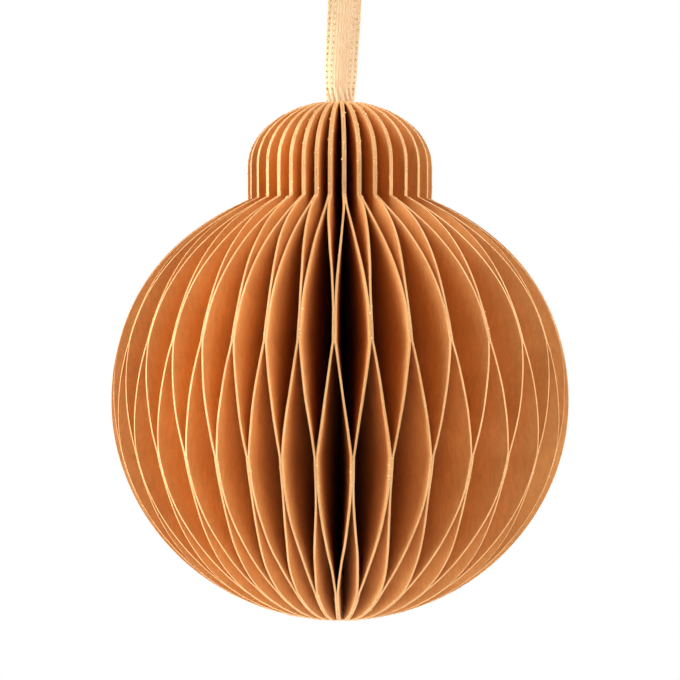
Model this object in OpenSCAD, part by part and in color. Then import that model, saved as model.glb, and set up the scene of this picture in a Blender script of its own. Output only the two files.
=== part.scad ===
// Honeycomb paper bauble with a knob, hung from a ribbon loop.
// Folded sheets stand in a ring round an open core, with their folds inwards. Each sheet has two
// leaves, cut to the bauble's outline. In the knob and in the band below the widest place each
// leaf is glued to its neighbour sheet, and in the bands between those to its own sheet's other
// leaf, so that the leaves open into tall lens-shaped cells.
// The origin is the inside top of the ribbon loop, where it hangs, and +Z is up.

/* [Body] */
// Diameter of the round body at its widest place
ball_d = 81.9; // [76:0.1:90]
// Depth of the rounded foot below the widest place
foot_h = 39.5; // [37:0.1:42]
// Height from the widest place up to the neck
shoulder_h = 35.7; // [32:0.1:38]
// Fall of the shoulder below level where it meets the neck, in degrees
shoulder_fall = 24.1; // [18:0.1:30]
// Reach of the shoulder's curve outwards from the neck
shoulder_reach = 21.5; // [16:0.5:26]
// Reach of the shoulder's curve upwards from the widest place
side_reach = 12.2; // [6:0.2:18]

/* [Knob] */
// Diameter of the neck between the body and the knob
neck_d = 33.1; // [28:0.1:38]
// Diameter of the knob
knob_d = 33.2; // [30:0.1:40]
// Height of the rounded corner between the neck and the knob's wall
neck_corner_h = 1.2; // [0.6:0.1:2]
// Height of the knob's straight wall
knob_wall_h = 4.8; // [3:0.1:7]
// Height of the knob's dome
dome_h = 11.8; // [10:0.2:16]

/* [Sheets] */
// Number of folded sheets in the ring
sheets = 34; // [30:1:36]
// Thickness of the paper
paper_t = 0.32; // [0.26:0.01:0.36]
// Thickness of the glue film between leaves
glue_t = 0.04; // [0.03:0.01:0.06]
// Distance beyond the folds at which each leaf's rounded corners start
tip_w = 1.4; // [1:0.1:3]

/* [Glued bands] */
// Height of each glued band on the body
band_h = 5; // [4:0.5:7]
// Height of the upper band's middle above the widest place
upper_band_z = 12.9; // [10:0.1:15]
// Depth of the lower band's middle below the widest place
lower_band_z = 10.7; // [9:0.1:14]
// Depth below the neck to which the knob's leaves stay joined
knob_join_h = 1.8; // [0.5:0.1:3]
// Height above the bottom to which the foot's leaves stay joined
foot_join_h = 7.5; // [5:0.1:10]

/* [Fan] */
// Turn of the whole fan about the axis, in degrees
fan_turn = -3.2; // [-5:0.1:5]
// Heading from the front at which the cells are narrowest, in degrees
narrow_at = -13.5; // [-40:0.5:40]
// Greatest shift of a leaf towards that heading, in degrees
squeeze = 6.7; // [0:0.1:9]
// Twist of the knob against the body, in degrees
knob_twist = -0.4; // [-2:0.1:2]

/* [Ribbon] */
// Width of the ribbon
ribbon_w = 6; // [4:0.5:6]
// Thickness of the ribbon
ribbon_t = 0.4; // [0.3:0.05:0.6]
// Height from the top of the paper to the inside top of the loop
loop_h = 40; // [38:0.5:44]

/* [Hidden] */
function sheet_name(i) = str("sheet_", i < 10 ? "0" : "", i);

// Radii of the outline, measured from the axis
ball_r = ball_d / 2;
neck_r = neck_d / 2;
knob_r = knob_d / 2;

// Angle from one fold to the next, the room that one leaf and its glue take, and the radii at the
// folds' crotches, at their backs and at the leaves' rounded corners
sheet_angle = 360 / sheets;
leaf_pitch = paper_t + glue_t;
fold_r = leaf_pitch / 2 / sin(sheet_angle / 4);
core_r = fold_r - paper_t;
tip_r = fold_r + tip_w;

// Heights above the widest place
neck_z = shoulder_h;
wall_z = neck_z + neck_corner_h;
dome_z = wall_z + knob_wall_h;
top_z = dome_z + dome_h * sqrt(1 - pow(tip_r / knob_r, 2));
knob_joined_z = neck_z - knob_join_h;
upper_top_z = upper_band_z + band_h / 2;
upper_low_z = upper_band_z - band_h / 2;
lower_top_z = -lower_band_z + band_h / 2;
lower_low_z = -lower_band_z - band_h / 2;
foot_joined_z = -foot_h + foot_join_h;

// Place of the widest height below the origin
widest_z = -loop_h - top_z;

// Outline of a leaf: its height above the widest place, and its radius there
shoulder_steps = 24;
dome_steps = 16;
foot_steps = 40;
function bezier(a, b, c, d, t) =
    pow(1 - t, 3) * a + 3 * pow(1 - t, 2) * t * b + 3 * (1 - t) * t * t * c + pow(t, 3) * d;
function shoulder_point(t) = [
    bezier(0, side_reach, neck_z - shoulder_reach * sin(shoulder_fall), neck_z, t),
    bezier(ball_r, ball_r, neck_r + shoulder_reach * cos(shoulder_fall), neck_r, t)
];
tip_angle = asin(tip_r / ball_r);
dome_angle = acos(tip_r / knob_r);
outline = concat(
    [for (k = [0:foot_steps - 1])
        let (a = tip_angle + (90 - tip_angle) * k / foot_steps) [-foot_h * cos(a), ball_r * sin(a)]],
    [for (k = [0:shoulder_steps]) shoulder_point(k / shoulder_steps)],
    [[wall_z, knob_r]],
    [for (k = [0:dome_steps])
        let (a = dome_angle * k / dome_steps) [dome_z + dome_h * sin(a), knob_r * cos(a)]]
);
function radius_at(z) = lookup(z, outline);

// Heights of the rows of points from the bottom to the top: so many steps in the foot, in the
// cell above it, in each glued band, in the two cells above those and in the dome
foot_rows = 3;
foot_cell_rows = 3;
band_rows = 1;
middle_cell_rows = 3;
shoulder_cell_rows = 5;
dome_rows = 4;
function steps(low, high, count) = [for (k = [0:count - 1]) low + (high - low) * k / count];
foot_angle = acos(-foot_joined_z / foot_h);
rows = concat(
    [for (a = steps(tip_angle, foot_angle, foot_rows)) -foot_h * cos(a)],
    steps(foot_joined_z, lower_low_z, foot_cell_rows),
    steps(lower_low_z, lower_top_z, band_rows),
    steps(lower_top_z, upper_low_z, middle_cell_rows),
    steps(upper_low_z, upper_top_z, band_rows),
    steps(upper_top_z, knob_joined_z, shoulder_cell_rows),
    [knob_joined_z, neck_z, wall_z],
    [for (a = steps(0, dome_angle, dome_rows)) dome_z + dome_h * sin(a)],
    [top_z]
);

// How far a leaf has swung at a height: 0 where it is glued to the neighbour sheet and 1 where it
// is glued to its own sheet's other leaf. It swings evenly in the middle cell. In the others the
// slopes at a cell's ends set how sharp they are.
neck_slope = 1.8;
foot_slope = 1.4;
soft_slope = 0.1;
function ease(t, start, end) =
    (pow(t, 3) - 2 * t * t + t) * start + (3 * t * t - 2 * pow(t, 3)) + (pow(t, 3) - t * t) * end;
function swing(z) =
    z >= knob_joined_z ? 0
    : z > upper_top_z ? ease((knob_joined_z - z) / (knob_joined_z - upper_top_z), neck_slope, soft_slope)
    : z >= upper_low_z ? 1
    : z > lower_top_z ? (z - lower_top_z) / (upper_low_z - lower_top_z)
    : z >= lower_low_z ? 0
    : z > foot_joined_z ? ease((lower_low_z - z) / (lower_low_z - foot_joined_z), soft_slope, foot_slope)
    : 1;

// Azimuth of the outer edge for a fold's azimuth: the fan is closer at the front and back than at
// the sides, and the knob is turned a little against the body.
function fanned(a) = a - squeeze * sin(2 * (a - narrow_at));
function twist_at(z) = knob_twist * min(1, max(0, (z - upper_top_z) / (neck_z - upper_top_z)));

// A point at a radius and an azimuth, where 0 is the front and 90 the right side, and a shift
// across that azimuth
function place(r, a, shift) = [r * sin(a) + shift * cos(a), -r * cos(a) + shift * sin(a)];
function raised(p, z) = [p[0], p[1], z + widest_z];

// Outer edge of a leaf at a height: its middle line swings from beside the neighbour's azimuth to
// beside its own sheet's, and each of its faces lies half a thickness from it.
function edge_point(z, r, own, neighbour, side, face) =
    let (s = swing(z))
    let (a = neighbour + (own - neighbour) * s + twist_at(z))
    place(r, a, side * (leaf_pitch / 2 * (1 - 2 * s) + face * paper_t / 2));

// The seven points of a sheet's section at a height, from the first leaf's outer face round its
// edge, in to the crotch of the fold, out round the second leaf and back along the fold
function section(i, z) =
    let (fold = fan_turn + sheet_angle * (i - 0.5))
    let (before = fanned(fold - sheet_angle / 2))
    let (after = fanned(fold + sheet_angle / 2))
    let (own = fanned(fold))
    let (r = radius_at(z))
    [for (p = [
        edge_point(z, r, own, before, 1, -1),
        edge_point(z, r, own, before, 1, 1),
        place(fold_r, fold, 0),
        edge_point(z, r, own, after, -1, 1),
        edge_point(z, r, own, after, -1, -1),
        place(core_r, fold + sheet_angle / 2, -glue_t / 2),
        place(core_r, fold - sheet_angle / 2, glue_t / 2)
    ]) raised(p, z)];

// Skin of a solid whose sections are rings of points: faces between one ring and the next, and two
// end caps. The sides in flipped are cut along their other diagonal.
function side_faces(j, k, corners, flipped) =
    let (a = j * corners + k)
    let (b = j * corners + (k + 1) % corners)
    let (c = b + corners)
    let (d = a + corners)
    len(search(k, flipped)) > 0 ? [[a, d, b], [b, d, c]] : [[a, c, b], [a, d, c]];
function skin(rings, corners, flipped) = concat(
    [[for (k = [0:corners - 1]) k]],
    [for (j = [0:rings - 2]) for (k = [0:corners - 1]) for (f = side_faces(j, k, corners, flipped)) f],
    [[for (k = [corners - 1:-1:0]) (rings - 1) * corners + k]]
);

// The two sides whose diagonals are turned, so that both faces of a leaf bend along the same lines
sheet_corners = 7;
turned_sides = [1, 4];

module folded_sheet(i) {
    points = [for (z = rows) for (p = section(i, z)) p];
    color([0.80, 0.45, 0.18])
        polyhedron(points = points, faces = skin(len(rows), sheet_corners, turned_sides));
}

// Ribbon route from the end of the front tail, up over the loop and down to the end of the back
// tail, in millimetres from the inside top of the loop
ribbon_route = [
    [0, -3.3, -52], [0, -3.3, -48], [0, -3.3, -44], [0, -3.3, -41], [0, -3.2, -38.5],
    [0.1, -3.1, -36], [0.2, -3, -33], [0.4, -3, -29.5], [0.6, -3.2, -26], [0.8, -3.5, -22.3],
    [0.8, -4, -18.5], [0.7, -4.6, -15], [0.6, -5.2, -11.5], [0.4, -5.6, -8.5], [0.3, -5.7, -6],
    [0.2, -5.3, -3.6], [0.2, -4.2, -1.5], [0.2, -2.4, -0.2], [0.2, 0, 0.2], [0.2, 2.4, -0.2],
    [0.2, 4.2, -1.5], [0.2, 5.3, -3.6], [0.3, 5.7, -6], [0.4, 5.5, -8.5], [0.6, 5, -11.5],
    [0.7, 4.3, -15], [0.8, 3.7, -18.5], [0.8, 3.2, -22.3], [0.6, 3, -26], [0.4, 2.9, -29.5],
    [0.2, 3, -33], [0.1, 3.1, -36], [0, 3.2, -38.5], [0, 3.3, -41], [0, 3.3, -44],
    [0, 3.3, -48], [0, 3.3, -52]
];

// Curl of the ribbon across its width: the tails lie round the inside of the core, and the curl
// fades out above the paper until only the least share of it is left.
tail_r = abs(ribbon_route[0][1]);
curl_fades_h = 20;
least_curl = 0.001;
function curl_at(z) = min(1, max(least_curl, 1 - (z + loop_h) / curl_fades_h)) / tail_r;

// Section of the ribbon at a point of its route: four points along its outer face and four back
// along its inner face, which looks into the loop
across = [-1, -1 / 3, 1 / 3, 1];
ribbon_corners = 2 * len(across);
function unit(v) = v / norm(v);
function ribbon_point(at, wide, inward, curl, share, depth) =
    let (bend = 1 / curl)
    let (a = share * ribbon_w / 2 * curl * 180 / PI)
    at + wide * (bend - depth) * sin(a) + inward * (bend - (bend - depth) * cos(a));
function ribbon_ring(n) =
    let (last = len(ribbon_route) - 1)
    let (at = ribbon_route[n])
    let (along = unit(ribbon_route[min(n + 1, last)] - ribbon_route[max(n - 1, 0)]))
    let (wide = unit([1, 0, 0] - along[0] * along))
    let (inward = cross(along, wide))
    let (curl = curl_at(at[2]))
    concat(
        [for (share = across) ribbon_point(at, wide, inward, curl, share, -ribbon_t / 2)],
        [for (share = across) ribbon_point(at, wide, inward, curl, -share, ribbon_t / 2)]
    );

module hanging_ribbon() {
    points = [for (n = [0:len(ribbon_route) - 1]) for (p = ribbon_ring(n)) p];
    color([0.93, 0.80, 0.60])
        polyhedron(points = points, faces = skin(len(ribbon_route), ribbon_corners, []));
}

for (i = [1:sheets]) folded_sheet(i);
hanging_ribbon();
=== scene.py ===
# %% [markdown]
# A honeycomb paper ornament. The real one is a stack of thick dyed paper sheets, cut to the
# outline of a bauble, folded once and glued to each other in bands, so that the stack opens like
# a fan into tall cells. Gold glitter sits on every cut edge, and a narrow woven ribbon goes down
# into the open middle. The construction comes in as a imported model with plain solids, and this
# script makes their looks round it, in metres and in the same place.

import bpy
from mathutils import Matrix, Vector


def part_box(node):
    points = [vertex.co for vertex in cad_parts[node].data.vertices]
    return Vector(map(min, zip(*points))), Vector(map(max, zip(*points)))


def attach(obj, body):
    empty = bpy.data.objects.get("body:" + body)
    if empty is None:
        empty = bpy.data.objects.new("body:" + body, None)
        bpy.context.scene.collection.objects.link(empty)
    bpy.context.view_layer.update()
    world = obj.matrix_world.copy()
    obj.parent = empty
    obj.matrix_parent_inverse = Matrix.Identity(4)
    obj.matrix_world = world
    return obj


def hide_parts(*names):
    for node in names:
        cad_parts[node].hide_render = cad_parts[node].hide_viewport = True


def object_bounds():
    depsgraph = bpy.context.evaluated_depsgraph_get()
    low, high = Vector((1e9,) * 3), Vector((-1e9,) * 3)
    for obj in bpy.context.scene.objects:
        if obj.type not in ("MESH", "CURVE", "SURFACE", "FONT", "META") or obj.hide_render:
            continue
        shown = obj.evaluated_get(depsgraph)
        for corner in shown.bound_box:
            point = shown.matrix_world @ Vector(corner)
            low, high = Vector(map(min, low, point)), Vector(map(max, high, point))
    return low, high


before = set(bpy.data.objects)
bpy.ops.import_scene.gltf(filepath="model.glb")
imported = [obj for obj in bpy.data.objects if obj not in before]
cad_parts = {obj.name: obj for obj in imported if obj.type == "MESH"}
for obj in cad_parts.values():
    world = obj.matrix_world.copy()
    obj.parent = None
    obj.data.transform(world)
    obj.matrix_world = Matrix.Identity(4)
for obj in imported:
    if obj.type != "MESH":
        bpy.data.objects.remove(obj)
cad_low, cad_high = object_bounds()
print("nodes in the packed model:", len(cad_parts))

# %% Names that every cell uses
import math

import bpy
import mathutils
import numpy as np

mm = 0.001
# Most of a noise texture's values lie between these two.
usual_noise = {"From Min": 0.35, "From Max": 0.65}
scene = bpy.context.scene
scene.view_settings.view_transform = "Standard"


def colour(code):
    """The linear colour of an sRGB hex value."""
    shares = [int(code[k : k + 2], 16) / 255 for k in (1, 3, 5)]
    return [c / 12.92 if c <= 0.04045 else ((c + 0.055) / 1.055) ** 2.4 for c in shares] + [1.0]


def add_node(tree, kind, inputs, **settings):
    """Adds a node with its settings. An input, named or counted, takes a value, a socket or a node."""
    node = tree.nodes.new(kind)
    for name, value in settings.items():
        setattr(node, name, value)
    for key, value in inputs.items():
        named = [s for s in node.inputs if s.enabled and s.name == key]
        socket = node.inputs[key] if isinstance(key, int) else named[0]
        if isinstance(value, bpy.types.Node):
            value = next(s for s in value.outputs if s.enabled)
        if isinstance(value, bpy.types.NodeSocket):
            tree.links.new(value, socket)
        else:
            socket.default_value = value
    return node


def show(mesh, name):
    """An object at the origin that shows a mesh."""
    piece = bpy.data.objects.new(name, mesh)
    scene.collection.objects.link(piece)
    return piece


# %% [markdown]
# The camera comes first, because every piece is judged through it. The photograph looks level at
# the ornament from close by. The cells open wide at the middle and crowd together at the sides,
# and that crowding gives the distance. One pixel spans a known width at the ornament's axis, so
# the focal length follows from the two.

# %% Camera
picture_px = 680
pixel_at_axis = 0.18022 * mm
camera_distance = 360.4 * mm
camera_below_paper_top = 42.3 * mm
sensor_width = 36.0

paper_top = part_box("sheet_01")[1].z
camera = bpy.data.objects.new("camera", bpy.data.cameras.new("camera"))
camera.data.sensor_width = sensor_width
camera.data.lens = sensor_width * camera_distance / (picture_px * pixel_at_axis)
camera.data.clip_start = 10 * mm
camera.location = (0, -camera_distance, paper_top - camera_below_paper_top)
camera.rotation_euler = (math.radians(90), 0, 0)
scene.collection.objects.link(camera)
scene.camera = camera
print("focal length in mm:", round(camera.data.lens, 1))

# %% [markdown]
# The ribbon is the one free length on the ornament, so it is made next. It comes up out of the
# open middle, runs over a loop and goes back down beside itself. It could be a curve with a
# bevel, but a flat ribbon has two faces and two edges that differ, so its section is swept as a
# mesh. Its route repeats the points of the construction, and a Catmull-Rom curve, which passes
# through every point, joins them smoothly.

# %% Ribbon route
loop_h = 40 * mm
ring_step = 0.26 * mm
ribbon_route_mm = [
    (0, -3.3, -52), (0, -3.3, -48), (0, -3.3, -44), (0, -3.3, -41), (0, -3.2, -38.5),
    (0.1, -3.1, -36), (0.2, -3, -33), (0.4, -3, -29.5), (0.6, -3.2, -26), (0.8, -3.5, -22.3),
    (0.8, -4, -18.5), (0.7, -4.6, -15), (0.6, -5.2, -11.5), (0.4, -5.6, -8.5), (0.3, -5.7, -6),
    (0.2, -5.3, -3.6), (0.2, -4.2, -1.5), (0.2, -2.4, -0.2), (0.2, 0, 0.2), (0.2, 2.4, -0.2),
    (0.2, 4.2, -1.5), (0.2, 5.3, -3.6), (0.3, 5.7, -6), (0.4, 5.5, -8.5), (0.6, 5, -11.5),
    (0.7, 4.3, -15), (0.8, 3.7, -18.5), (0.8, 3.2, -22.3), (0.6, 3, -26), (0.4, 2.9, -29.5),
    (0.2, 3, -33), (0.1, 3.1, -36), (0, 3.2, -38.5), (0, 3.3, -41), (0, 3.3, -44),
    (0, 3.3, -48), (0, 3.3, -52),
]
route = np.array(ribbon_route_mm) * mm


def smooth_line(points, step, samples=24):
    """Points a step apart on a curve through all the given ones."""
    padded = np.vstack([2 * points[0] - points[1], points, 2 * points[-1] - points[-2]])
    t = np.linspace(0, 1, samples, endpoint=False)[:, None]
    pieces = []
    for a, b, c, d in zip(padded, padded[1:], padded[2:], padded[3:]):
        bend = (2 * a - 5 * b + 4 * c - d) * t**2 + (3 * (b - c) + d - a) * t**3
        pieces.append(b + 0.5 * ((c - a) * t + bend))
    line = np.vstack([*pieces, points[-1:]])
    along = np.concatenate([[0], np.cumsum(np.linalg.norm(np.diff(line, axis=0), axis=1))])
    at = np.linspace(0, along[-1], round(along[-1] / step) + 1)
    return np.stack([np.interp(at, along, line[:, k]) for k in range(3)], axis=1), at


ribbon_line, ribbon_along = smooth_line(route, ring_step)
print("ribbon length in mm:", round(ribbon_along[-1] / mm, 1), "rings:", len(ribbon_line))

# %% [markdown]
# The real ribbon is a narrow woven band with a firm selvedge at each side. It lies flat in the
# loop and curls round the inside of the paper's core, where its tails are glued. Each ring of the
# mesh goes out across one face and comes back across the other. Fine lengthwise ribs stand a few
# hundredths of a millimetre proud, as warp threads do. Where the band is gathered to fit into the
# core it gets narrower, and small pleats run up from there.

# %% Ribbon shape
ribbon_w = 6 * mm
ribbon_t = 0.4 * mm
band_share = 0.3
selvedge_adds_share = 0.16
curl_fades_h = 20 * mm
tail_r = 3.3 * mm
least_curl = 0.001
rib_pitch = 0.5 * mm
rib_depth = 0.025 * mm
selvedge_w = 0.5 * mm
pleat_pitch = 0.95 * mm
pleat_depth = 0.12 * mm
pleat_start_h, pleat_full_h, pleat_end_h = -0.5 * mm, 0.8 * mm, 4 * mm
pleat_slant = 0.25
gather_share = 0.13
gather_end_h = 7 * mm
across_half_ribbon = 24


def smooth_step(low, high, value):
    """Rises smoothly from 0 at low to 1 at high."""
    t = np.clip((value - low) / (high - low), 0, 1)
    return t * t * (3 - 2 * t)


def ribbon_lift(side, z, face):
    """How far a face lies from the ribbon's middle: its wall, ribs, selvedges and pleats."""
    edge = smooth_step(ribbon_w / 2 - selvedge_w, ribbon_w / 2 - selvedge_w / 2, np.abs(side))
    ribs = rib_depth * np.cos(2 * math.pi * side / rib_pitch) * (1 - edge)
    height = z - paper_top
    pleated = smooth_step(pleat_start_h, pleat_full_h, height)
    pleated = pleated * (1 - smooth_step(pleat_full_h, pleat_end_h, height))
    turns = (side + pleat_slant * height) / pleat_pitch
    pleat = pleat_depth * pleated * np.sin(2 * math.pi * turns)
    wall = ribbon_t * (band_share + selvedge_adds_share * edge)
    return face * (wall + ribs) + pleat


def ribbon_points(side, face):
    """Points of one face: a row across the ribbon for each point of its line."""
    along = np.gradient(ribbon_line, axis=0)
    along /= np.linalg.norm(along, axis=1)[:, None]
    wide = np.array([1.0, 0, 0]) - along[:, :1] * along
    wide /= np.linalg.norm(wide, axis=1)[:, None]
    inward = np.cross(along, wide)
    z = ribbon_line[:, 2:]
    bend = tail_r / np.clip(1 - (z + loop_h) / curl_fades_h, least_curl, 1)
    arm = bend - ribbon_lift(side, z, face)
    narrowed = 1 - gather_share * (1 - smooth_step(0, gather_end_h, z - paper_top))
    turn = side * narrowed / bend
    out = arm * np.sin(turn)
    deep = bend - arm * np.cos(turn)
    aside = wide[:, None] * out[..., None] + inward[:, None] * deep[..., None]
    return ribbon_line[:, None] + aside


def ribbon_mesh(sides):
    """The ribbon as a closed band, with a UV map that counts millimetres across and along it."""
    rings = np.concatenate([ribbon_points(sides, -1), ribbon_points(sides[::-1], 1)], axis=1)
    count, corners = rings.shape[:2]
    start = np.arange(count - 1)[:, None] * corners
    here, beside = start + np.arange(corners), start + np.roll(np.arange(corners), -1)
    quads = np.stack([here, here + corners, beside + corners, beside], axis=2).reshape(-1, 4)
    ends = [list(range(corners)), list(range((count - 1) * corners, count * corners))[::-1]]
    mesh = bpy.data.meshes.new("ribbon")
    mesh.from_pydata(rings.reshape(-1, 3).tolist(), [], quads.tolist() + ends)
    across = np.tile(np.concatenate([sides, sides[::-1]]), count) / mm
    lengthwise = np.repeat(ribbon_along, corners) / mm
    corner = np.zeros(len(mesh.loops), np.int32)
    mesh.loops.foreach_get("vertex_index", corner)
    places = np.stack([across[corner], lengthwise[corner]], axis=1)
    mesh.uv_layers.new(name="weave").data.foreach_set("uv", places.astype(np.float32).ravel())
    mesh.shade_smooth()
    return mesh


ribbon_sides = np.linspace(-ribbon_w / 2, ribbon_w / 2, 2 * across_half_ribbon + 1)
woven_ribbon = show(ribbon_mesh(ribbon_sides), "woven_ribbon")
print("faces of the ribbon:", len(woven_ribbon.data.polygons))

# %% [markdown]
# The same stitch repeats along both selvedges: a short darker float of thread every millimetre,
# at the very edge and again one millimetre inside it. What repeats along a path is work for
# Geometry Nodes. The tree takes the lines of the stitches as edges, cuts them to the stitch pitch
# and puts one small bead of thread at each point, turned along the line.

# %% Trees that take a mesh and sizes by name


def new_tree(name, sizes):
    """A tree with a geometry in and out and one input for each named size, and its input node."""
    tree = bpy.data.node_groups.new(name, "GeometryNodeTree")
    tree.interface.new_socket("Geometry", in_out="INPUT", socket_type="NodeSocketGeometry")
    tree.interface.new_socket("Geometry", in_out="OUTPUT", socket_type="NodeSocketGeometry")
    for size in sizes:
        tree.interface.new_socket(size, in_out="INPUT", socket_type="NodeSocketFloat")
    return tree, tree.nodes.new("NodeGroupInput").outputs


def finish_tree(tree, geometry, material):
    """Ends a tree: its instances become real faces and take a material."""
    real = add_node(tree, "GeometryNodeRealizeInstances", {"Geometry": geometry})
    made = add_node(tree, "GeometryNodeSetMaterial", {"Geometry": real, "Material": material})
    add_node(tree, "NodeGroupOutput", {"Geometry": made})


def grown(mesh, tree, sizes, solid=0.0):
    """The plain mesh that a tree makes of a mesh. A thickness gives it a rim in its second material."""
    maker = show(mesh, "maker")
    modifier = maker.modifiers.new("tree", "NODES")
    modifier.node_group = tree
    for item in tree.interface.items_tree:
        if item.in_out == "INPUT" and item.name in sizes:
            modifier[item.identifier] = float(sizes[item.name])
    if solid:
        wall = maker.modifiers.new("wall", "SOLIDIFY")
        wall.thickness, wall.offset, wall.use_even_offset = solid, 0, True
        wall.material_offset_rim = 1
    made = maker.evaluated_get(bpy.context.evaluated_depsgraph_get())
    result = bpy.data.meshes.new_from_object(made)
    bpy.data.objects.remove(maker)
    return result


def store(mesh, name, values):
    """Keeps one number for each point of a mesh, for the trees and materials that read it."""
    layer = mesh.attributes.new(name, "FLOAT", "POINT")
    layer.data.foreach_set("value", np.asarray(values, np.float32).ravel())


# %% Stitches along the selvedges
stitch_pitch = 1.04 * mm
stitch_length = 0.42 * mm
stitch_width = 0.34 * mm
bead_segments, bead_rings = 6, 5
# Distance of the outer and the inner line of stitches from the ribbon's middle
stitch_lines = [2.7 * mm, 1.74 * mm]


def stitch_tree(material):
    """Thread beads at even steps along the edges of a mesh, each turned along its edge."""
    tree, given = new_tree("selvedge stitches", ["Pitch", "Length", "Width"])
    line = add_node(tree, "GeometryNodeMeshToCurve", {"Mesh": given["Geometry"]})
    even = add_node(tree, "GeometryNodeResampleCurve", {"Curve": line, "Length": given["Pitch"]},
                    mode="LENGTH")
    turned = add_node(tree, "FunctionNodeAlignEulerToVector",
                      {"Vector": add_node(tree, "GeometryNodeInputTangent", {})}, axis="Z")
    bead = add_node(tree, "GeometryNodeMeshUVSphere",
                    {"Segments": bead_segments, "Rings": bead_rings, "Radius": 0.5})
    size = add_node(tree, "ShaderNodeCombineXYZ",
                    {"X": given["Width"], "Y": given["Width"], "Z": given["Length"]})
    beads = add_node(tree, "GeometryNodeInstanceOnPoints",
                     {"Points": even, "Instance": bead.outputs["Mesh"], "Rotation": turned, "Scale": size})
    smooth = add_node(tree, "GeometryNodeSetShadeSmooth", {"Geometry": beads})
    finish_tree(tree, smooth, material)
    return tree


def stitch_path_mesh():
    """Four lines of edges on each face of the ribbon, where the stitches sit."""
    sides = np.array([side * edge for edge in stitch_lines for side in (-1, 1)])
    lines = [ribbon_points(sides, face) for face in (-1, 1)]
    points = np.concatenate(lines, axis=1).transpose(1, 0, 2)
    count, length = points.shape[:2]
    first = np.arange(count)[:, None] * length + np.arange(length - 1)
    edges = np.stack([first.ravel(), first.ravel() + 1], axis=1)
    mesh = bpy.data.meshes.new("stitch lines")
    mesh.from_pydata(points.reshape(-1, 3).tolist(), edges.tolist(), [])
    return mesh


# %% [markdown]
# Each sheet is die-cut flat before it is folded, and it is made that way here too. A leaf's
# outline is the bauble's profile: an ellipse from the foot to the widest place, one cubic curve
# over the shoulder, a small rounded corner at the neck, a straight wall and an elliptic dome. The
# same driving sizes as in the construction give it.

# %% Outline of a leaf
ball_r = 81.9 * mm / 2
foot_h = 39.5 * mm
shoulder_h = 35.7 * mm
shoulder_fall = math.radians(24.1)
shoulder_reach = 21.5 * mm
side_reach = 12.2 * mm
neck_r = 33.1 * mm / 2
knob_r = 33.2 * mm / 2
neck_corner_h = 1.2 * mm
knob_wall_h = 4.8 * mm
dome_h = 11.8 * mm

sheet_count = 34
paper_t = 0.32 * mm
glue_t = 0.04 * mm
tip_w = 1.4 * mm
outline_samples = 120
corner_samples = 7
sheet_angle = math.radians(360 / sheet_count)
leaf_pitch = paper_t + glue_t
fold_r = leaf_pitch / 2 / math.sin(sheet_angle / 4)
tip_r = fold_r + tip_w

neck_z = shoulder_h
dome_z = neck_z + neck_corner_h + knob_wall_h
top_z = dome_z + dome_h * math.sqrt(1 - (tip_r / knob_r) ** 2)
widest_z = paper_top - top_z


def bezier(a, b, c, d, t):
    """A cubic curve from a to d, pulled towards b and c."""
    return (1 - t) ** 3 * a + 3 * (1 - t) ** 2 * t * b + 3 * (1 - t) * t * t * c + t**3 * d


def leaf_outline():
    """Heights above the widest place and radii, from the foot to the top."""
    foot = np.linspace(math.asin(tip_r / ball_r), math.pi / 2, outline_samples, endpoint=False)
    t = np.linspace(0, 1, outline_samples)
    corner = np.linspace(0, math.pi / 2, corner_samples)[1:]
    dome = np.linspace(0, math.acos(tip_r / knob_r), outline_samples)
    shoulder_end = neck_z - shoulder_reach * math.sin(shoulder_fall)
    heights = [-foot_h * np.cos(foot), bezier(0, side_reach, shoulder_end, neck_z, t),
               neck_z + neck_corner_h * np.sin(corner), dome_z + dome_h * np.sin(dome)]
    shoulder_out = neck_r + shoulder_reach * math.cos(shoulder_fall)
    radii = [ball_r * np.sin(foot), bezier(ball_r, ball_r, shoulder_out, neck_r, t),
             knob_r - (knob_r - neck_r) * np.cos(corner), knob_r * np.cos(dome)]
    return np.concatenate(heights), np.concatenate(radii)


outline_z, outline_r = leaf_outline()
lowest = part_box("sheet_01")[0].z
foot_off = outline_z[0] + widest_z - lowest
print("outline's foot is off the packed sheet by mm:", round(foot_off / mm, 4))

# %% [markdown]
# The glue makes the honeycomb. In the knob and below the widest place a leaf is stuck to the
# neighbour sheet, and in the bands between those to its own sheet's other leaf. So as one goes up
# a leaf, its edge swings from one side to the other and back. One number, the swing, says where
# it is at each height: 0 beside the neighbour and 1 beside its own twin. It changes evenly in the
# middle cell. In the shoulder and foot cells it follows a cubic curve, whose end slopes say how
# sharply the cell ends there.

# %% Swing of a leaf
band_h = 5 * mm
upper_band_z = 12.9 * mm
lower_band_z = -10.7 * mm
knob_joined_z = neck_z - 1.8 * mm
foot_joined_z = -foot_h + 7.5 * mm
neck_slope = 1.8
foot_slope = 1.4
soft_slope = 0.1
upper_top, upper_low = upper_band_z + band_h / 2, upper_band_z - band_h / 2
lower_top, lower_low = lower_band_z + band_h / 2, lower_band_z - band_h / 2


def ease(t, start, end):
    """A cubic rise from 0 to 1 with the given slopes at its start and end."""
    t = np.clip(t, 0, 1)
    return (t**3 - 2 * t * t + t) * start + 3 * t * t - 2 * t**3 + (t**3 - t * t) * end


def swing(z):
    """How far a leaf's edge has swung to its own twin at a height above the widest place."""
    shoulder = ease((knob_joined_z - z) / (knob_joined_z - upper_top), neck_slope, soft_slope)
    middle = np.clip((z - lower_top) / (upper_low - lower_top), 0, 1)
    foot = ease((lower_low - z) / (lower_low - foot_joined_z), soft_slope, foot_slope)
    return np.where(z > upper_low, shoulder, np.where(z > lower_low, middle, foot))


bands = np.array([neck_z, upper_band_z, 0, lower_band_z, -foot_h])
print("swing at the bands and between the middle two:", swing(bands).round(2))

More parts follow.
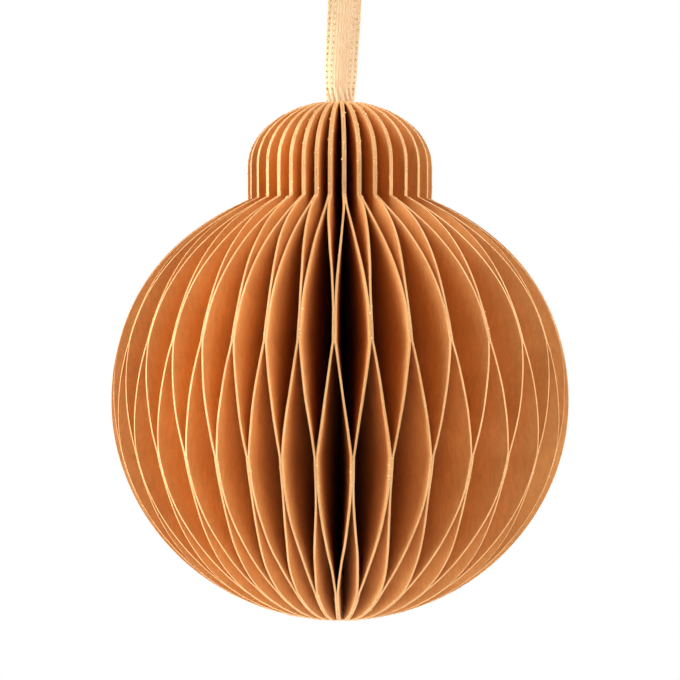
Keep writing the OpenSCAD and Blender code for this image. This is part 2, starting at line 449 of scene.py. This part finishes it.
# %% [markdown]
# The flat sheet is a grid. Its rows are spaced evenly along the outline and not in height, so they
# are closer where the outline runs nearly level, and there is a row at each band's edge. Each
# point keeps what its height decides: the swing, the outline's radius and the twist of the knob.
# It also keeps its distance from the cut edge, which the paper's finish needs. Every fourth point
# of the outline is near enough for that.

# %% Flat die-cut sheet
row_step = 1.2 * mm
fold_arc = leaf_pitch / 2 * math.pi / 2
# Columns of the grid, as shares of a leaf's width and of the fold's quarter turn
leaf_shares = np.array([0.12, 0.3, 0.5, 0.68, 0.82, 0.92, 0.97, 1])
arc_shares = np.array([-1, -0.5, 0, 0.5, 1])
outline_skip = 4
knob_twist = math.radians(-0.4)


def row_heights():
    """Heights of the grid's rows, evenly along the outline between the places that matter."""
    along = np.concatenate([[0], np.cumsum(np.hypot(np.diff(outline_z), np.diff(outline_r)))])
    stops = [outline_z[0], foot_joined_z, lower_low, lower_top, upper_low, upper_top, knob_joined_z,
             neck_z, neck_z + neck_corner_h, dome_z, outline_z[-1]]
    at = np.interp(stops, outline_z, along)
    parts = [np.linspace(a, b, max(2, round((b - a) / row_step)), endpoint=False)
             for a, b in zip(at, at[1:])]
    return np.interp(np.concatenate([*parts, at[-1:]]), along, outline_z)


def keep_rule(mesh, heights):
    """Keeps at each point of a flat mesh what its height decides."""
    radius = np.interp(heights, outline_z, outline_r)
    store(mesh, "edge_radius", radius)
    store(mesh, "swing", swing(heights))
    store(mesh, "twist", knob_twist * np.clip((heights - upper_top) / (neck_z - upper_top), 0, 1))


def flat_sheet():
    """The unfolded sheet in the XZ plane, with the fold line up its middle."""
    z = row_heights()
    reach = (np.interp(z, outline_z, outline_r) - fold_r)[:, None]
    right = fold_arc + leaf_shares * reach
    x = np.concatenate([-right[:, ::-1], np.tile(arc_shares * fold_arc, (len(z), 1)), right], axis=1)
    rows, columns = x.shape
    points = np.stack([x, np.zeros_like(x), np.repeat(z[:, None], columns, 1) + widest_z], axis=2)
    first = (np.arange(rows - 1)[:, None] * columns + np.arange(columns - 1)).ravel()
    faces = np.stack([first, first + 1, first + columns + 1, first + columns], axis=1)
    mesh = bpy.data.meshes.new("flat sheet")
    mesh.from_pydata(points.reshape(-1, 3).tolist(), [], faces.tolist())
    heights = points[..., 2].ravel() - widest_z
    keep_rule(mesh, heights)
    radii = fold_r + np.abs(x.ravel()) - fold_arc
    out, up = outline_r[None, ::outline_skip], outline_z[None, ::outline_skip]
    store(mesh, "edge_gap", np.hypot(radii[:, None] - out, heights[:, None] - up).min(1))
    return mesh


flat = flat_sheet()
print("points of the flat sheet:", len(flat.vertices))

# %% [markdown]
# Folding is a rule, so Geometry Nodes do it. Across the fold the paper goes round an arc with the
# radius of half a leaf's pitch. From there each row of a leaf is a straight line to its edge, and
# the edge stands at an azimuth between the neighbour's plane and the sheet's own plane, as the
# swing says. Both the arc and the edge are points that are turned about the axis, so the tree
# builds each one in the plane straight ahead and turns it with one Vector Rotate node. A little
# noise lets the free parts of a leaf wander by about a tenth of a millimetre, as handmade paper
# does. Its waves are counted per metre, across a leaf and up it.

# %% Tree that folds and fans a sheet
fold_sizes = ["Fold azimuth", "Before azimuth", "Own azimuth", "After azimuth", "Fold radius",
              "Leaf pitch", "Fold arc", "Wander", "Seed"]
waves_across, waves_up = 60.0, 90.0


def fold_tree():
    """Bends a flat sheet about its fold line and fans its two leaves out."""
    tree, given = new_tree("fold and fan", fold_sizes)

    def calc(operation, *values):
        return add_node(tree, "ShaderNodeMath", dict(enumerate(values)), operation=operation)

    def kept(name):
        return add_node(tree, "GeometryNodeInputNamedAttribute", {"Name": name}, data_type="FLOAT")

    def turned(across, radius, azimuth):
        ahead = calc("MULTIPLY", radius, -1.0)
        point = add_node(tree, "ShaderNodeCombineXYZ", {"X": across, "Y": ahead, "Z": height})
        return add_node(tree, "ShaderNodeVectorRotate", {"Vector": point, "Angle": azimuth},
                        rotation_type="Z_AXIS")

    flat_place = add_node(tree, "GeometryNodeInputPosition", {})
    place = add_node(tree, "ShaderNodeSeparateXYZ", {"Vector": flat_place})
    height, flat_x = place.outputs["Z"], place.outputs["X"]
    side, reach = calc("SIGN", flat_x), calc("ABSOLUTE", flat_x)
    swung, radius = kept("swing"), kept("edge_radius")

    half_pitch = calc("MULTIPLY", given["Leaf pitch"], 0.5)
    round_fold = calc("MINIMUM", calc("DIVIDE", reach, half_pitch), math.pi / 2)
    arc_across = calc("MULTIPLY", calc("MULTIPLY", calc("SINE", round_fold), half_pitch), side)
    arc_depth = calc("MULTIPLY", calc("COSINE", round_fold), half_pitch)
    arc_radius = calc("SUBTRACT", given["Fold radius"], arc_depth)
    spine = turned(arc_across, arc_radius, given["Fold azimuth"])

    second = calc("GREATER_THAN", flat_x, 0.0)
    neighbour = add_node(tree, "ShaderNodeMix", {"Factor": second, "A": given["Before azimuth"],
                                                 "B": given["After azimuth"]})
    swept = add_node(tree, "ShaderNodeMix",
                     {"Factor": swung, "A": neighbour, "B": given["Own azimuth"]})
    azimuth = calc("ADD", swept, kept("twist"))
    # Free is 0 where a leaf is glued and 1 halfway between two bands.
    free = calc("MULTIPLY", calc("MULTIPLY", swung, calc("SUBTRACT", 1.0, swung)), 4.0)
    spot = add_node(tree, "ShaderNodeCombineXYZ",
                    {"X": given["Seed"], "Y": calc("MULTIPLY", flat_x, waves_across),
                     "Z": calc("MULTIPLY", height, waves_up)})
    noise = add_node(tree, "ShaderNodeTexNoise", {"Vector": spot, "Scale": 1.0, "Detail": 1.0})
    drift = calc("MULTIPLY", calc("SUBTRACT", noise.outputs[0], 0.5), given["Wander"])
    inside = calc("SUBTRACT", calc("MULTIPLY", swung, 2.0), 1.0)
    lean = calc("MULTIPLY", calc("MULTIPLY", half_pitch, side), inside)
    edge = turned(calc("ADD", lean, calc("MULTIPLY", drift, free)), radius, azimuth)

    leaf = calc("SUBTRACT", radius, given["Fold radius"])
    share = calc("MAXIMUM", calc("DIVIDE", calc("SUBTRACT", reach, given["Fold arc"]), leaf), 0.0)
    bent = add_node(tree, "ShaderNodeMix", {"Factor": share, "A": spine, "B": edge},
                    data_type="VECTOR")
    moved = add_node(tree, "GeometryNodeSetPosition",
                     {"Geometry": given["Geometry"], "Position": bent})
    add_node(tree, "NodeGroupOutput", {"Geometry": moved})
    return tree


def folded_by(tree, given, folding):
    """Puts the folding tree into another tree and hands its inputs on."""
    group = tree.nodes.new("GeometryNodeGroup")
    group.node_tree = folding
    for name in ["Geometry", *fold_sizes]:
        tree.links.new(given[name], group.inputs[name])
    return group


def sheet_tree(folding, material):
    """A folded sheet of one material."""
    tree, given = new_tree("folded sheet", fold_sizes)
    finish_tree(tree, folded_by(tree, given, folding), material)
    return tree


# %% [markdown]
# The glitter is a thin coat of glue on the cut edge with flakes strewn into it. The coat is the
# rim of the solid sheet, which takes a finish of its own. The flakes follow the folded outline, so
# the tree folds that outline the same way as the sheet. Each flake lies nearly flat on the edge,
# somewhere across the paper's thickness. They come in patches, because the glue was wetter here
# and drier there, and noise along the edge decides where. They number thousands, so a flake has
# eight faces and no more. Where leaves are glued to each other, some glue was pressed out and
# caught glitter in small crumbs, so a few larger grains sit beside the edge there. Each random
# draw adds a salt of its own to the sheet's seed, so that the draws differ and so do the sheets.

# %% Tree that strews glitter along the cut edge
glitter_sizes = ["Flake radius", "Flake step", "Flake rise", "Spread", "Patch size", "Bare share",
                 "Crumb radius", "Crumb step", "Crumb share"]
flake_flatness = 0.35
flake_scales = (0.5, 1.4)
flake_tilt = 0.6
crumb_reach = 2.2
crumb_scales = (0.5, 1.3)
glue_bound = 40.0


def glitter_tree(folding, material):
    """Flat flakes along a folded outline, in patches, and crumbs where leaves are glued."""
    tree, given = new_tree("glitter edge", fold_sizes + glitter_sizes)

    def calc(operation, *values):
        return add_node(tree, "ShaderNodeMath", dict(enumerate(values)), operation=operation)

    def chance(low, high, salt, kind="FLOAT"):
        if kind == "FLOAT_VECTOR":
            low, high = (low,) * 3, (high,) * 3
        seed = calc("ADD", given["Seed"], float(salt))
        return add_node(tree, "FunctionNodeRandomValue", {"Min": low, "Max": high, "Seed": seed},
                        data_type=kind)

    def vector(operation, first, second=None, factor=1.0):
        inputs = {0: first} if second is None else {0: first, 1: second}
        if operation == "SCALE":
            inputs["Scale"] = factor
        return add_node(tree, "ShaderNodeVectorMath", inputs, operation=operation)

    def strewn(points, grain, offset, turned, scale):
        moved = add_node(tree, "GeometryNodeSetPosition", {"Geometry": points, "Offset": offset})
        grains = add_node(tree, "GeometryNodeInstanceOnPoints",
                          {"Points": moved, "Instance": grain, "Rotation": turned, "Scale": scale})
        # Painted glint: a random number for each grain, which the glitter finish turns into a paler gold
        # in place of a spark of light.
        painted_glint = chance(0.0, 1.0, 11)
        return add_node(tree, "GeometryNodeStoreNamedAttribute",
                        {"Geometry": grains, "Name": "painted_glint", "Value": painted_glint}, domain="INSTANCE")

    def steps(length):
        return add_node(tree, "GeometryNodeResampleCurve", {"Curve": line, "Length": given[length]},
                        mode="LENGTH")

    line = add_node(tree, "GeometryNodeMeshToCurve", {"Mesh": folded_by(tree, given, folding)})
    place = add_node(tree, "GeometryNodeInputPosition", {})
    aside = vector("NORMALIZE", vector("CROSS_PRODUCT", (0.0, 0.0, 1.0), place))
    square = vector("CROSS_PRODUCT", add_node(tree, "GeometryNodeInputTangent", {}), aside)
    from_middle = vector("SUBTRACT", place, (0.0, 0.0, widest_z))
    faces_out = calc("SIGN", vector("DOT_PRODUCT", square, from_middle).outputs["Value"])
    outward = vector("NORMALIZE", vector("SCALE", square, factor=faces_out))

    per_metre = calc("DIVIDE", 1.0, given["Patch size"])
    patch = add_node(tree, "ShaderNodeTexNoise", {"Vector": place, "Scale": per_metre, "Detail": 2.0})
    dense = add_node(tree, "ShaderNodeMapRange", {"Value": patch.outputs[0]} | usual_noise)
    bare = calc("LESS_THAN", dense, calc("MULTIPLY", given["Bare share"], chance(0.0, 2.0, 13)))
    kept = add_node(tree, "GeometryNodeDeleteGeometry",
                    {"Geometry": steps("Flake step"), "Selection": bare})
    across = vector("SCALE", aside, factor=calc("MULTIPLY", given["Spread"], chance(-1.0, 1.0, 5)))
    rise = calc("MULTIPLY", calc("MULTIPLY", given["Flake rise"], dense), chance(0.2, 1.0, 15))
    above = vector("SCALE", outward, factor=rise)
    loose = vector("ADD", outward, chance(-flake_tilt, flake_tilt, 7, "FLOAT_VECTOR"))
    flat_out = add_node(tree, "FunctionNodeAlignEulerToVector", {"Vector": loose}, axis="Z")
    flake = add_node(tree, "GeometryNodeMeshUVSphere",
                     {"Segments": 4, "Rings": 2, "Radius": given["Flake radius"]})
    flake = add_node(tree, "GeometryNodeTransform",
                     {"Geometry": flake.outputs["Mesh"], "Scale": (1.0, 1.0, flake_flatness)})
    flakes = strewn(kept, flake, vector("ADD", across, above), flat_out, chance(*flake_scales, 9))

    swung = add_node(tree, "GeometryNodeInputNamedAttribute", {"Name": "swing"}, data_type="FLOAT")
    # This passes 1 as soon as a leaf leaves its glued band, so crumbs only stay inside the bands.
    loosely = calc("MULTIPLY", calc("MULTIPLY", swung, calc("SUBTRACT", 1.0, swung)), glue_bound)
    drawn = calc("ADD", loosely, chance(0.0, 1.0, 17))
    unwanted = calc("GREATER_THAN", drawn, given["Crumb share"])
    glued = add_node(tree, "GeometryNodeDeleteGeometry",
                     {"Geometry": steps("Crumb step"), "Selection": unwanted})
    crumb = add_node(tree, "GeometryNodeMeshUVSphere",
                     {"Segments": 5, "Rings": 4, "Radius": given["Crumb radius"]})
    sideways = calc("MULTIPLY", given["Spread"], chance(-crumb_reach, crumb_reach, 19))
    beside = vector("SCALE", aside, factor=sideways)
    tumbled = chance(0.0, math.tau, 21, "FLOAT_VECTOR")
    lumpy = chance(*crumb_scales, 23, "FLOAT_VECTOR")
    crumbs = strewn(glued, crumb.outputs["Mesh"], beside, tumbled, lumpy)
    both = add_node(tree, "GeometryNodeJoinGeometry", {})
    tree.links.new(flakes.outputs[0], both.inputs[0])
    tree.links.new(crumbs.outputs[0], both.inputs[0])
    finish_tree(tree, both, material)
    return tree


def cut_outline():
    """The closed outline of the flat sheet, as edges."""
    reach = outline_r - fold_r + fold_arc
    arc = np.array([-1, 0, 1]) * fold_arc
    x = np.concatenate([arc, reach, arc[::-1], -reach[::-1]])
    low_end, high_end = np.full(len(arc), outline_z[0]), np.full(len(arc), outline_z[-1])
    z = np.concatenate([low_end, outline_z, high_end, outline_z[::-1]])
    points = np.stack([x, np.zeros_like(x), z + widest_z], axis=1)
    count = len(points)
    mesh = bpy.data.meshes.new("cut outline")
    mesh.from_pydata(points.tolist(), [(k, (k + 1) % count) for k in range(count)], [])
    keep_rule(mesh, z)
    return mesh


outline_edges = cut_outline()
print("points of the cut outline:", len(outline_edges.vertices))

# %% [markdown]
# The paper is a heavy handmade cotton rag sheet, dyed in the pulp. To the eye that is a matt
# orange tan with no gloss, a soft mottle some millimetres wide where the dye took unevenly, and
# a felt of short fibres that only shows as a fine grain. Single fibres are too thin for the
# picture, so the felt is drawn as coarser tufts. Near the cut edge a little gold dust has drifted
# onto the faces. Its real specks are a few hundredths of a millimetre wide and are drawn larger,
# so that they show. All of it is procedural and reads object coordinates, which are metres.

# %% Dyed cotton paper
mottle_size = 9 * mm
fibre_size = 0.7 * mm
fibre_rise = 0.05 * mm
fibre_stretch = 0.35
dust_reach = 0.6 * mm
dust_grain = 0.18 * mm
clean_level, dusty_level = 0.3, 0.46


def new_material(name):
    """A material with an empty tree but for its output, and that tree."""
    material = bpy.data.materials.new(name)
    material.use_nodes = True
    tree = material.node_tree
    tree.nodes.clear()
    return material, tree, tree.nodes.new("ShaderNodeOutputMaterial")


def dyed_cotton_paper():
    """Matt dyed rag paper with mottle, fibres and gold dust near the cut edge."""
    material, tree, output = new_material("dyed cotton paper")
    place = add_node(tree, "ShaderNodeTexCoord", {}).outputs["Object"]
    mottle = add_node(tree, "ShaderNodeTexNoise",
                      {"Vector": place, "Scale": 1 / mottle_size, "Detail": 3.0})
    drawn = add_node(tree, "ShaderNodeMapping", {"Vector": place, "Scale": (1.0, 1.0, fibre_stretch)})
    fibres = add_node(tree, "ShaderNodeTexNoise",
                      {"Vector": drawn, "Scale": 1 / fibre_size, "Detail": 4.0, "Roughness": 0.65})
    tone = add_node(tree, "ShaderNodeMapRange", {"Value": mottle.outputs[0]} | usual_noise)
    dyed = add_node(tree, "ShaderNodeMix",
                    {"Factor": tone, "A": colour("#D79555"), "B": colour("#E1A05E")}, data_type="RGBA")
    speck = add_node(tree, "ShaderNodeMapRange",
                     {"Value": fibres.outputs[0], "From Min": 0.3, "From Max": 0.7,
                      "To Min": 0.9, "To Max": 1.08})
    grainy = add_node(tree, "ShaderNodeVectorMath", {0: dyed.outputs[2], "Scale": speck},
                      operation="SCALE")
    gap = add_node(tree, "ShaderNodeAttribute", {}, attribute_name="edge_gap")
    near = add_node(tree, "ShaderNodeMapRange",
                    {"Value": gap.outputs["Fac"], "From Min": dust_reach, "From Max": 0.0,
                     "To Min": clean_level, "To Max": dusty_level})
    grain = add_node(tree, "ShaderNodeTexNoise",
                     {"Vector": place, "Scale": 1 / dust_grain, "Detail": 2.0})
    dust = add_node(tree, "ShaderNodeMath", {0: grain.outputs[0], 1: near}, operation="LESS_THAN")
    surface = add_node(tree, "ShaderNodeMix", {"Factor": dust, "A": grainy, "B": colour("#EDBA7C")},
                       data_type="RGBA")
    bump = add_node(tree, "ShaderNodeBump",
                    {"Height": fibres.outputs[0], "Strength": 0.35, "Distance": fibre_rise})
    shader = add_node(tree, "ShaderNodeBsdfPrincipled",
                      {"Base Color": surface.outputs[2], "Roughness": 0.9,
                       "Specular IOR Level": 0.25, "Normal": bump})
    tree.links.new(shader.outputs[0], output.inputs["Surface"])
    return material


# %% [markdown]
# The glitter is gold-coloured metallised film, chopped into grains and set in clear glue. Each
# grain is a tiny mirror, but grains that lie every way scatter light almost as a matt coat does,
# so it reads as a pale, warm gold with few sparks. The finish is therefore rough, with only a
# small share of metal. Each flake's own number shifts its colour from deep gold towards a pale
# gold, which is a painted glint that stands for the sparks. The coat between the flakes is finer
# grit, drawn a little coarser than it is so that it shows. A fine bump breaks it into grains, and
# where it is thin the orange paper shows through.

# %% Gold glitter
grit_size = 0.14 * mm
grit_rise = 0.05 * mm
coat_patch = 7 * mm


def gold_glitter():
    """Metallised glitter grains in clear glue."""
    material, tree, output = new_material("gold glitter")
    place = add_node(tree, "ShaderNodeTexCoord", {}).outputs["Object"]
    grit = add_node(tree, "ShaderNodeTexNoise",
                    {"Vector": place, "Scale": 1 / grit_size, "Detail": 2.0})
    # The painted glint: each grain's own number mixes a pale gold into its colour, standing for a spark of
    # light.
    painted_glint = add_node(tree, "ShaderNodeAttribute", {}, attribute_name="painted_glint")
    patch = add_node(tree, "ShaderNodeTexNoise",
                     {"Vector": place, "Scale": 1 / coat_patch, "Detail": 3.0})
    coat = add_node(tree, "ShaderNodeMapRange",
                    {"Value": patch.outputs[0], "From Min": 0.38, "From Max": 0.62})
    thin = add_node(tree, "ShaderNodeMix",
                    {"Factor": coat, "A": colour("#CE985E"), "B": colour("#D8A66C")}, data_type="RGBA")
    gold = add_node(tree, "ShaderNodeMix",
                    {"Factor": painted_glint.outputs["Fac"], "A": thin.outputs[2], "B": colour("#EFCF94")},
                    data_type="RGBA")
    bump = add_node(tree, "ShaderNodeBump",
                    {"Height": grit.outputs[0], "Strength": 0.5, "Distance": grit_rise})
    shader = add_node(tree, "ShaderNodeBsdfPrincipled",
                      {"Base Color": gold.outputs[2], "Metallic": 0.15, "Roughness": 0.6,
                       "Normal": bump})
    tree.links.new(shader.outputs[0], output.inputs["Surface"])
    return material


# %% [markdown]
# The ribbon is woven from pale gold metallised thread and polyester. To the eye that is a warm
# beige with a soft lengthwise sheen, a weave of about four threads a millimetre that only just
# shows, and darker stitches in twisted ochre thread along the selvedges. The sheen is painted
# into the colour, as lighter patches and lengthwise streaks. The weave follows the ribbon's own
# UV map, which counts millimetres. The warp's ribs are modelled twice as coarse as the threads,
# because finer ones would not show.

# %% Woven metallic ribbon and its stitching thread
warp_per_mm = 4.0
weft_per_mm = 3.0
weave_rise = 0.04 * mm
painted_sheen_per_mm = 0.55
painted_sheen_across, painted_sheen_along = 5.0, 0.6
twist_size = 0.15 * mm


def woven_metallic_ribbon():
    """A band of metallised warp and polyester weft."""
    material, tree, output = new_material("woven metallic ribbon")
    place = add_node(tree, "ShaderNodeUVMap", {}, uv_map="weave")
    split = add_node(tree, "ShaderNodeSeparateXYZ", {"Vector": place})
    threads = []
    for count, axis in ((warp_per_mm, "X"), (weft_per_mm, "Y")):
        turns = add_node(tree, "ShaderNodeMath", {0: split.outputs[axis], 1: count * math.tau},
                         operation="MULTIPLY")
        threads.append(add_node(tree, "ShaderNodeMath", {0: turns}, operation="SINE"))
    weave = add_node(tree, "ShaderNodeMath", {0: threads[0], 1: threads[1]}, operation="MULTIPLY")
    # Painted sheen: lighter patches and lengthwise streaks in the colour stand for the light on the
    # metallised thread.
    patch = add_node(tree, "ShaderNodeTexNoise",
                     {"Vector": place, "Scale": painted_sheen_per_mm, "Detail": 3.0})
    drawn = add_node(tree, "ShaderNodeMapping",
                     {"Vector": place, "Scale": (painted_sheen_across, painted_sheen_along, 1.0)})
    sheen_streak = add_node(tree, "ShaderNodeTexNoise", {"Vector": drawn, "Scale": 1.0, "Detail": 2.0})
    shade = add_node(tree, "ShaderNodeMath", {0: patch.outputs[0], 1: sheen_streak.outputs[0]},
                     operation="ADD")
    tone = add_node(tree, "ShaderNodeMapRange", {"Value": shade, "From Min": 0.6, "From Max": 1.4})
    gold = add_node(tree, "ShaderNodeMix",
                    {"Factor": tone, "A": colour("#DAB287"), "B": colour("#E2C197")}, data_type="RGBA")
    bump = add_node(tree, "ShaderNodeBump", {"Height": weave, "Strength": 0.4, "Distance": weave_rise})
    shader = add_node(tree, "ShaderNodeBsdfPrincipled",
                      {"Base Color": gold.outputs[2], "Metallic": 0.1, "Roughness": 0.5,
                       "Normal": bump})
    tree.links.new(shader.outputs[0], output.inputs["Surface"])
    return material


def ochre_thread():
    """Twisted ochre stitching thread."""
    material, tree, output = new_material("ochre stitching thread")
    place = add_node(tree, "ShaderNodeTexCoord", {}).outputs["Object"]
    twist = add_node(tree, "ShaderNodeTexNoise",
                     {"Vector": place, "Scale": 1 / twist_size, "Detail": 1.0})
    thread = add_node(tree, "ShaderNodeMix",
                      {"Factor": twist.outputs[0], "A": colour("#BC9C6C"), "B": colour("#D8BC8C")},
                      data_type="RGBA")
    shader = add_node(tree, "ShaderNodeBsdfPrincipled",
                      {"Base Color": thread.outputs[2], "Roughness": 0.7})
    tree.links.new(shader.outputs[0], output.inputs["Surface"])
    return material


# %% [markdown]
# Now the sheets are folded one by one. A sheet's fold stands at an even azimuth round the core.
# Its edges don't: when the fan was spread, the cells stayed closer at the front and the back than
# at the sides, and a sine of twice the azimuth says by how much. Each sheet is thicker by half of
# the glue film, so that the cut edges of two glued leaves read as one line.

# %% Fold the sheets and strew their glitter
fan_turn = math.radians(-3.2)
narrow_at = math.radians(-13.5)
squeeze = math.radians(6.7)
wander = 0.5 * mm
seed_step = 7.3
crease = math.radians(40)
coated_t = paper_t + 0.5 * glue_t


def fanned(azimuth):
    """Where a leaf's edge stands for the azimuth of its fold."""
    return azimuth - squeeze * math.sin(2 * (azimuth - narrow_at))


paper, glitter = dyed_cotton_paper(), gold_glitter()
folding = fold_tree()
sheet_maker = sheet_tree(folding, paper)
glitter_maker = glitter_tree(folding, glitter)
flat.materials.append(paper)
flat.materials.append(glitter)
glitter_values = {"Flake radius": 0.07 * mm, "Flake step": 0.17 * mm, "Flake rise": 0.06 * mm,
                  "Spread": 0.1 * mm, "Patch size": 6 * mm, "Bare share": 0.5,
                  "Crumb radius": 0.16 * mm, "Crumb step": 0.6 * mm, "Crumb share": 0.25}
for number in range(1, sheet_count + 1):
    fold = fan_turn + sheet_angle * (number - 0.5)
    sizes = {"Fold azimuth": fold, "Own azimuth": fanned(fold),
             "Before azimuth": fanned(fold - sheet_angle / 2),
             "After azimuth": fanned(fold + sheet_angle / 2),
             "Fold radius": fold_r, "Leaf pitch": leaf_pitch, "Fold arc": fold_arc,
             "Wander": wander, "Seed": number * seed_step}
    node = f"sheet_{number:02d}"
    leaf_pair = show(grown(flat, sheet_maker, sizes, coated_t), f"paper_{node}")
    leaf_pair.data.shade_smooth()
    leaf_pair.data.set_sharp_from_angle(angle=crease)
    strewn_edge = grown(outline_edges, glitter_maker, sizes | glitter_values)
    edge = show(strewn_edge, f"glitter_{number:02d}")
    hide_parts(node)
    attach(leaf_pair, "root")
    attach(edge, "root")
print("faces of the last sheet:", len(leaf_pair.data.polygons))
print("faces of its glitter:", len(edge.data.polygons))

# %% Dress the ribbon
woven_ribbon.data.materials.append(woven_metallic_ribbon())
stitch_sizes = {"Pitch": stitch_pitch, "Length": stitch_length, "Width": stitch_width}
sewn = grown(stitch_path_mesh(), stitch_tree(ochre_thread()), stitch_sizes)
stitches = show(sewn, "selvedge_stitches")
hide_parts("hanging_ribbon")
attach(woven_ribbon, "root")
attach(stitches, "root")
print("faces of the stitches:", len(stitches.data.polygons))

# %% [markdown]
# The ornament hangs in a white studio. The world is white where the camera sees it straight, which
# gives the background, and almost dark for everything else, because in the photograph the depths
# of the cells are nearly black. Square soft lamps half a metre wide stand round the ornament, each
# named by its azimuth and elevation. Most of their light comes from far out on both sides, so a
# face that turns to a side is bright and a gap that looks straight ahead stays dark. Their
# strengths were found by taking pictures with one lamp at a time and weighing them against the
# photograph. The floor lies well below and fades out into the white.

# %% Floor, world and lamps
floor_depth = 160 * mm
floor_r = 600 * mm
fade_from = 0.3
dark_level = 0.02
lamp_size = 0.5
lamp_distance = 0.8
soft_lamps = {
    (-75, -20): 7.1, (-75, 10): 6.7, (-75, 45): 5.5,
    (45, -20): 1.9, (75, 10): 6.0, (45, 45): 2.8, (135, 45): 4.0, (-125, 10): 1.6,
}


def white_world():
    """White to the camera, and a very low level of light for everything else."""
    world = bpy.data.worlds.new("white studio")
    world.use_nodes = True
    tree = world.node_tree
    tree.nodes.clear()
    rays = add_node(tree, "ShaderNodeLightPath", {})
    level = add_node(tree, "ShaderNodeMapRange",
                     {"Value": rays.outputs["Is Camera Ray"], "To Min": dark_level, "To Max": 1.0})
    light = add_node(tree, "ShaderNodeBackground", {"Color": colour("#FFFFFF"), "Strength": level})
    add_node(tree, "ShaderNodeOutputWorld", {"Surface": light})
    scene.world = world


def floor_finish():
    """Pale matt floor that fades out into the white round it."""
    material, tree, output = new_material("pale floor")
    place = add_node(tree, "ShaderNodeTexCoord", {}).outputs["Object"]
    centre = add_node(tree, "ShaderNodeVectorMath", {0: place, 1: (1.0, 1.0, 0.0)},
                      operation="MULTIPLY")
    away = add_node(tree, "ShaderNodeVectorMath", {0: centre}, operation="LENGTH")
    fade = add_node(tree, "ShaderNodeMapRange",
                    {"Value": away.outputs["Value"], "From Min": floor_r * fade_from,
                     "From Max": floor_r})
    matt = add_node(tree, "ShaderNodeBsdfDiffuse", {"Color": colour("#FAFAFA")})
    clear = add_node(tree, "ShaderNodeBsdfTransparent", {})
    mixed = add_node(tree, "ShaderNodeMixShader", {0: fade, 1: matt, 2: clear})
    tree.links.new(mixed.outputs[0], output.inputs["Surface"])
    return material


def lamp(name, watts, size, location, target):
    """A square soft lamp that looks at a point."""
    light = bpy.data.objects.new(name, bpy.data.lights.new(name, "AREA"))
    light.data.energy, light.data.size = watts, size
    light.location = location
    light.rotation_euler = (target - light.location).to_track_quat("-Z", "Y").to_euler()
    scene.collection.objects.link(light)


corner = floor_r * np.array([[-1, -1], [1, -1], [1, 1], [-1, 1]])
floor_mesh = bpy.data.meshes.new("floor")
floor_z = cad_low.z - floor_depth
floor_mesh.from_pydata([(x, y, floor_z) for x, y in corner.tolist()], [], [(0, 1, 2, 3)])
floor_mesh.materials.append(floor_finish())
show(floor_mesh, "floor")
white_world()
middle = (cad_low + cad_high) / 2
middle.z = widest_z
for (turn, rise), watts in soft_lamps.items():
    a, e = math.radians(turn), math.radians(rise)
    out = mathutils.Vector((math.sin(a) * math.cos(e), -math.cos(a) * math.cos(e), math.sin(e)))
    lamp(f"lamp_{turn}_{rise}", watts, lamp_size, middle + lamp_distance * out, middle)
